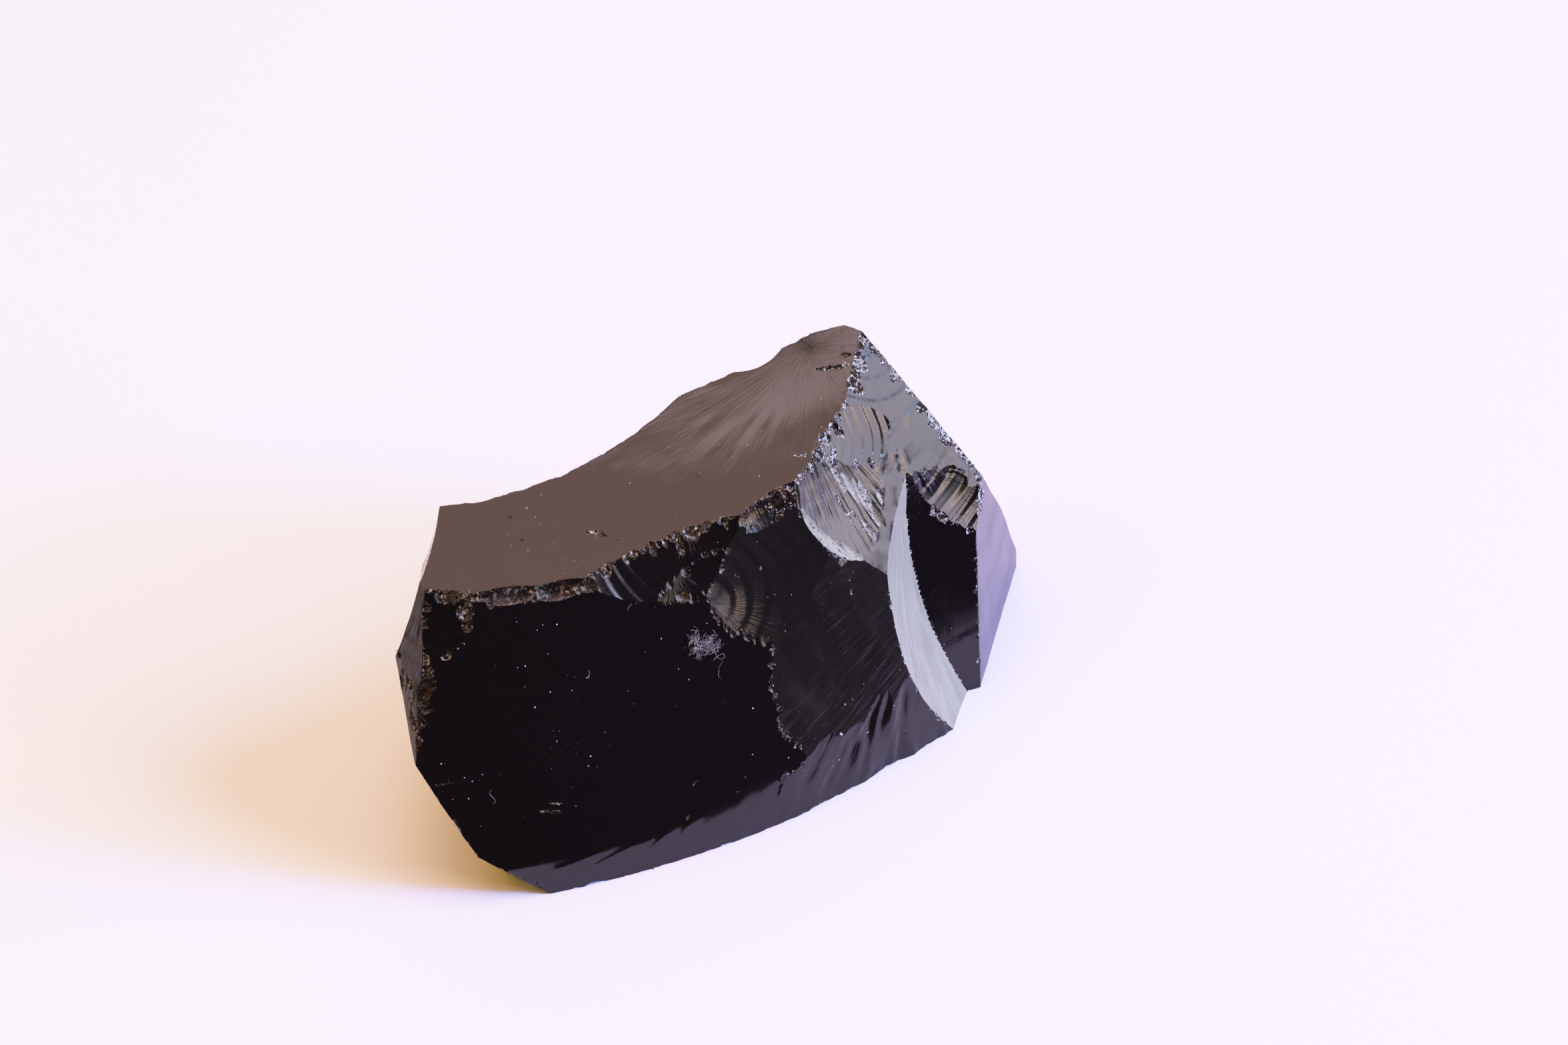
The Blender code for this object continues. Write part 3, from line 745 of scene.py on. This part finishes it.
def strew(n, given, spots, shape, fewness, widest, seed):
    """Puts a bit of one shape on each spot, with a size, proportions and a turn of its own."""
    chance_of = n.add("FunctionNodeRandomValue", {"data_type": "FLOAT"}, Seed=seed)
    smallest, largest = n.value(given["Smallest"]), n.value(given["Largest"])
    size = n.value(chance_of.outputs[1]).math("POWER", fewness) * (largest - smallest) + smallest
    kind = {"data_type": "FLOAT_VECTOR"}
    least, most, whole_turn = [0.5] * 3, [widest] * 3, [TAU] * 3
    uneven = n.add("FunctionNodeRandomValue", kind, _0=least, _1=most, Seed=seed + 1)
    scale = n.add("ShaderNodeVectorMath", {"operation": "SCALE"}, _0=uneven.outputs[0], Scale=size)
    turn_of = n.add("FunctionNodeRandomValue", kind, _1=whole_turn, Seed=seed + 2)
    bits = n.add(
        "GeometryNodeInstanceOnPoints",
        None,
        Points=spots.outputs["Points"],
        Instance=shape.outputs["Mesh"],
        Rotation=turn_of.outputs[0],
        Scale=scale.outputs[0],
    )
    hand_over(n, bits.outputs[0], given)


tree, n, given = bits_tree("dust")
up = n.add("ShaderNodeSeparateXYZ", None, Vector=n.add("GeometryNodeInputNormal").outputs[0]).outputs["Z"]
high = n.add("ShaderNodeSeparateXYZ", None, Vector=n.add("GeometryNodeInputPosition").outputs[0]).outputs["Z"]
upward = n.value(up).math("GREATER_THAN", -0.05) * n.value(high).math("GREATER_THAN", 0.0015)
drift = n.value(n.add("ShaderNodeTexNoise", None, Scale=70.0).outputs["Fac"]).ramp(0.35, 0.75)
thick = n.value(given["Bits per square metre"]) * drift
over = {"Mesh": given["Geometry"], "Selection": upward, "Density": thick}
spots = n.add("GeometryNodeDistributePointsOnFaces", None, **over, Seed=7)
lump = n.add("GeometryNodeMeshIcoSphere", None, Radius=1.0, Subdivisions=1)
strew(n, given, spots, lump, 5.0, 1.5, 3)
values = {"Bits per square metre": 2.4e5, "Smallest": 0.015 * MM, "Largest": 0.11 * MM, "Material": grit}
dust = grown(stone, tree, "dust", values)
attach(dust, "root")

# -------------------------------------------------------------------------------------- the splinters
# Splinters of crushed glass that still cling to the crushed ridges: a tenth to half a millimetre long,
# brown where the light comes through them and white where they are full of cracks. Towards the right
# they are painted paler and whiter: a painted highlight of the window's light on that side.
crush, n = material("crushed glass")
place = n.add("ShaderNodeTexCoord").outputs["Object"]
grain = n.add("ShaderNodeTexVoronoi", None, Vector=place, Scale=2600.0)
tint = n.value(n.add("ShaderNodeSeparateColor", None, Color=grain.outputs["Color"]).outputs[0])
patch = n.cloud(place, 320.0)
# Painted highlight: paler and more often white towards the right, where the window's light falls.
right = n.value(n.add("ShaderNodeSeparateXYZ", None, Vector=place).outputs["X"]).ramp(0.002, 0.014)
brown = n.blend(tint.ramp(0.3, 0.7), (0.004, 0.003, 0.002, 1), (0.055, 0.030, 0.008, 1))
cracked = (tint * 0.5 + patch * 0.8 + right * 0.30).ramp(0.84, 0.98)
white = n.blend(right, (0.42, 0.30, 0.12, 1), (0.64, 0.68, 0.56, 1))
n.surface(Base_Color=n.blend(cracked, brown, white), Roughness=0.12, IOR=1.49)

tree, n, given = bits_tree("splinters")
made_of = n.add("GeometryNodeInputNamedAttribute", {"data_type": "FLOAT_COLOR"}, _0="finish")
crumb = n.add("FunctionNodeSeparateColor", None, Color=made_of.outputs["Attribute"]).outputs[0]
thick = n.value(given["Bits per square metre"]) * n.value(crumb).ramp(0.05, 0.6)
over = {"Mesh": given["Geometry"], "Density": thick}
spots = n.add("GeometryNodeDistributePointsOnFaces", None, **over, Seed=11)
wedge = n.add("GeometryNodeMeshCone", None, Vertices=4, Radius_Top=0.3, Radius_Bottom=0.8, Depth=1.7)
strew(n, given, spots, wedge, 2.2, 1.4, 12)
values = {"Bits per square metre": 5.0e7, "Smallest": 0.03 * MM, "Largest": 0.17 * MM, "Material": crush}
splinters = grown(stone, tree, "splinters", values)
splinters.data.polygons.foreach_set("use_smooth", np.zeros(len(splinters.data.polygons), bool))
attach(splinters, "root")

# ------------------------------------------------------------------------------------------- the lint
# A tuft of grey textile fluff that caught on the rough edge of the front face, with one long fibre
# curling down from it, and a few single fibres elsewhere.
curve = bpy.data.curves.new("fibres", "CURVE")
curve.dimensions = "3D"


def on_front(spot, above):
    """The point this far outside the front face, near a given point."""
    d = unit(spot - HEART)[None]
    foot = HEART + d * min(reach(d, np.array([FRONT]))[0], FAR)
    return (foot + outward[FRONT] * above)[0]


STEP = 0.22  # mm between the points of a fibre


def fibre(start, heading, length, curl, lift):
    """One fibre that wanders over the front face from a start."""
    steps = max(5, round(length / STEP))
    spot, angle, bent = np.array(start, float), heading, 0.0
    line = curve.splines.new("POLY")
    line.points.add(steps - 1)
    for k in range(steps):
        above = 0.04 + lift * abs(math.sin(2.4 * k / steps + start[0] * 5))
        line.points[k].co = (*(on_front(spot, above) * MM), 1)
        bent += chance.normal(0, curl)
        bent *= 0.8
        angle += bent
        spot = spot + STEP * (side[FRONT] * math.cos(angle) + up_side[FRONT] * math.sin(angle))


# The tuft is a few clumps: how far each is to the right and up of its middle, and how wide it is, in mm.
CLUMPS = (
    (-1.7, 0.8, 0.7),
    (-0.7, 0.1, 0.9),
    (0.7, 0.7, 0.8),
    (0.2, -0.9, 0.7),
    (-1.2, -1.2, 0.4),
    (1.4, -0.2, 0.4),
)
for k in range(150):
    right, up, wide = CLUMPS[k % len(CLUMPS)]
    right, up = right + wide * chance.normal(0, 0.5), up + wide * chance.normal(0, 0.5)
    start = np.array((-1.8, -14.2, 28.6)) + right * side[FRONT] + up * up_side[FRONT]
    fibre(start, chance.uniform(0, TAU), chance.uniform(0.6, 1.8), 0.35, 0.45)
# The long fibre below the tuft, and the single ones.
for start, heading, length in (
    ((-0.4, -14.8, 27.0), -1.2, 4.5),
    ((0.6, -15.2, 25.8), -1.5, 3.0),
    ((-18.6, -21.2, 28.9), 0.6, 1.6),
    ((-12.7, -14.4, 35.6), 1.9, 1.4),
    ((-30.0, -30.5, 15.5), 0.2, 2.8),
):
    fibre(start, heading, length, 0.25, 0.15)
fibres = bpy.data.objects.new("fibres", curve)
bpy.context.scene.collection.objects.link(fibres)

fluff, n = material("grey fluff")
tone = n.cloud(n.add("ShaderNodeTexCoord").outputs["Object"], 900.0)
colour = n.blend(tone.ramp(0.35, 0.65), (0.14, 0.13, 0.10, 1), (0.50, 0.48, 0.38, 1))
n.surface(Base_Color=colour, Roughness=0.75)

tree = geometry_tree("fibres", {"Thickness": "Float", "Material": "Material"})
n = Nodes(tree)
given = n.add("NodeGroupInput").outputs
thread = n.value(given["Thickness"]) * 0.5
round_end = n.add("GeometryNodeCurvePrimitiveCircle", None, Resolution=5, Radius=thread)
ends = {"Curve": given["Geometry"], "Profile_Curve": round_end.outputs["Curve"], "Fill_Caps": True}
hand_over(n, n.add("GeometryNodeCurveToMesh", None, **ends).outputs[0], given)
lint = grown(fibres, tree, "lint", {"Thickness": 0.034 * MM, "Material": fluff})
bpy.data.objects.remove(fibres)
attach(lint, "root")

# ------------------------------------------------------------------------------------------ the table
# A smooth white table top, part of the scene and not of the stone. Its front half shows in no reflection,
# so that the front of the stone stays dark.
white, n = material("white table")
n.surface(Base_Color=(0.86, 0.84, 0.87, 1), Roughness=0.6)
EDGE, SPLIT = 12, -0.053  # metres
for name, near, far in (("table_behind", SPLIT, EDGE), ("table_in_front", -EDGE, SPLIT)):
    corners = [(-EDGE, near, 0), (EDGE, near, 0), (EDGE, far, 0), (-EDGE, far, 0)]
    table_mesh = bpy.data.meshes.new(name)
    table_mesh.from_pydata(corners, [], [(0, 1, 2, 3)])
    table_mesh.materials.append(white)
    table = bpy.data.objects.new(name, table_mesh)
    table.visible_glossy = name == "table_behind"
    bpy.context.scene.collection.objects.link(table)

# ------------------------------------------------------------------------------------------ the light
# A plain studio: soft warm light from above and behind, a cool window low on the right with a lit wall
# beside it, a weak warm lamp on the left, and a dark room in front. The world's soft patches are what the
# glass mirrors. The lamps show in no reflection, and only throw the shadows.


def from_back(turn, height):
    """The unit vector that points this many degrees to the right of straight back, and this many up."""
    return looking(180 - turn, height)


world = bpy.data.worlds.new("room")
bpy.context.scene.world = world
world.use_nodes = True
n = Nodes(world.node_tree)
direction = n.add("ShaderNodeTexCoord").outputs["Generated"]


def glow(turn, height, full, none):
    """A round patch of the world: 1 within so many degrees of its middle, and 0 beyond so many."""
    axis = tuple(from_back(turn, height))
    facing = n.add("ShaderNodeVectorMath", {"operation": "DOT_PRODUCT"}, _0=direction, _1=axis)
    level = n.value(facing.outputs["Value"])
    return level.ramp(math.cos(math.radians(none)), math.cos(math.radians(full)))


split = n.add("ShaderNodeSeparateXYZ", None, Vector=direction)
turned = n.value(split.outputs["X"]).math("ARCTAN2", n.value(split.outputs["Y"])) * (180 / math.pi)
raised = n.value(split.outputs["Z"]).math("ARCSINE") * (180 / math.pi)


def window(left, right, low, high):
    """An upright patch of the world: each side is where it starts to fade and where it has faded."""
    wide = turned.ramp(*left) * (1 - turned.ramp(*right))
    return wide * raised.ramp(*low) * (1 - raised.ramp(*high))


pane = window((60, 72), (104, 116), (1, 10), (32, 46))
sky = window((66, 74), (98, 106), (36, 42), (50, 56))
wall = window((106, 109), (112, 117), (6, 12), (28, 36))
shade = (0.045, 0.035, 0.030, 1)  # the dark room
PATCHES = (
    (glow(-6, 58, 6, 42), (2.75, 1.70, 1.47, 1)),
    (glow(-15, 83, 8, 23), (3.4, 2.6, 2.8, 1)),
    (glow(-100, 45, 8, 40), (0.95, 0.62, 0.28, 1)),
    (pane, (6.0, 5.6, 6.9, 1)),
    (sky, (7.5, 10.5, 16.5, 1)),
    (wall, (10.0, 7.2, 5.2, 1)),
)
adding = {"data_type": "RGBA", "blend_type": "ADD", "clamp_result": False}
for patch, colour in PATCHES:
    shade = n.add("ShaderNodeMix", adding, _0=patch, _6=shade, _7=colour).outputs[2]
back = n.add("ShaderNodeBackground", None, Color=shade)
out = n.add("ShaderNodeOutputWorld")
n.tree.links.new(back.outputs[0], out.inputs[0])

# Each lamp: its direction, its width in metres, its colour and its watts. All are round and 0.9 m away.
LAMPS = (
    ("sky in the window", (96, 22), 0.19, (0.10, 0.20, 1.0), 21),
    ("lit wall", (74, 30), 0.05, (1.0, 0.55, 0.25), 0.5),
    ("warm lamp", (-100, 45), 0.5, (1.0, 0.54, 0.02), 3.0),
)
for name, where, wide, colour, power in LAMPS:
    light = bpy.data.lights.new(name, "AREA")
    light.shape = "DISK"
    light.size = wide
    light.color = colour
    light.energy = power
    lamp = bpy.data.objects.new(name, light)
    lamp.visible_glossy = False
    lamp.location = from_back(*where) * 0.9
    lamp.rotation_euler = Vector(lamp.location).to_track_quat("Z", "Y").to_euler()
    bpy.context.scene.collection.objects.link(lamp)

# ------------------------------------------------------------------------------------------ the camera
# A 60 mm macro lens on a small sensor, held in front of the stone and halfway up to straight above it,
# 632 mm from a point a little behind its middle.
AIM_AT, AWAY = np.array((9.4, 18.8, 20.0)), 632
camera = bpy.data.cameras.new("camera")
camera.lens, camera.sensor_width = 60, 22.3
camera.clip_start = 0.01
sight = looking(0, 45)
eye = bpy.data.objects.new("camera", camera)
eye.location = (AIM_AT + sight * AWAY) * MM
eye.rotation_euler = Vector(sight).to_track_quat("Z", "Y").to_euler()
bpy.context.scene.collection.objects.link(eye)
bpy.context.scene.camera = eye
# Bright white rolls off softly.
look = bpy.context.scene.view_settings
look.view_transform = "Standard"
look.use_curve_mapping = True
look.curve_mapping.white_level = (2.5, 2.5, 2.5)
tone = look.curve_mapping.curves[3]
for level, shown in ((0.12, 0.29), (0.24, 0.56), (0.40, 0.80), (0.64, 0.95)):
    tone.points.new(level, shown)
look.curve_mapping.update()
